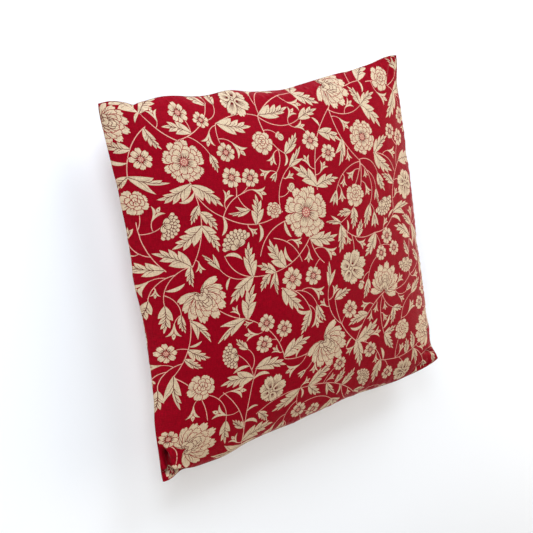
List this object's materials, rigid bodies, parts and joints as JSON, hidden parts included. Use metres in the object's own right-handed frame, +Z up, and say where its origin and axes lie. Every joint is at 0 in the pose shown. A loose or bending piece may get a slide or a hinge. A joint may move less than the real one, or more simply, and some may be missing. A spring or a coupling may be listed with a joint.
{
  "type": "cushion cover",
  "caption": "Filled square knife-edge cushion cover with drawn-in sides, soft corner ears and a floral print, lying on its back.",
  "frame": {"origin": "on the surface the cover lies on, under the middle of the form's box", "axes": "+Z up out of the front panel, +X to the right and +Y towards the top edge as the front panel is looked at"},
  "size_m": [0.441, 0.4424, 0.1151],
  "materials": {
    "printed_cloth": "matt plain-weave cotton, crimson ground printed with cream flowers and leaves"
  },
  "bodies": {
    "root": {"filled_cover": "printed_cloth"}
  },
  "joints": []
}
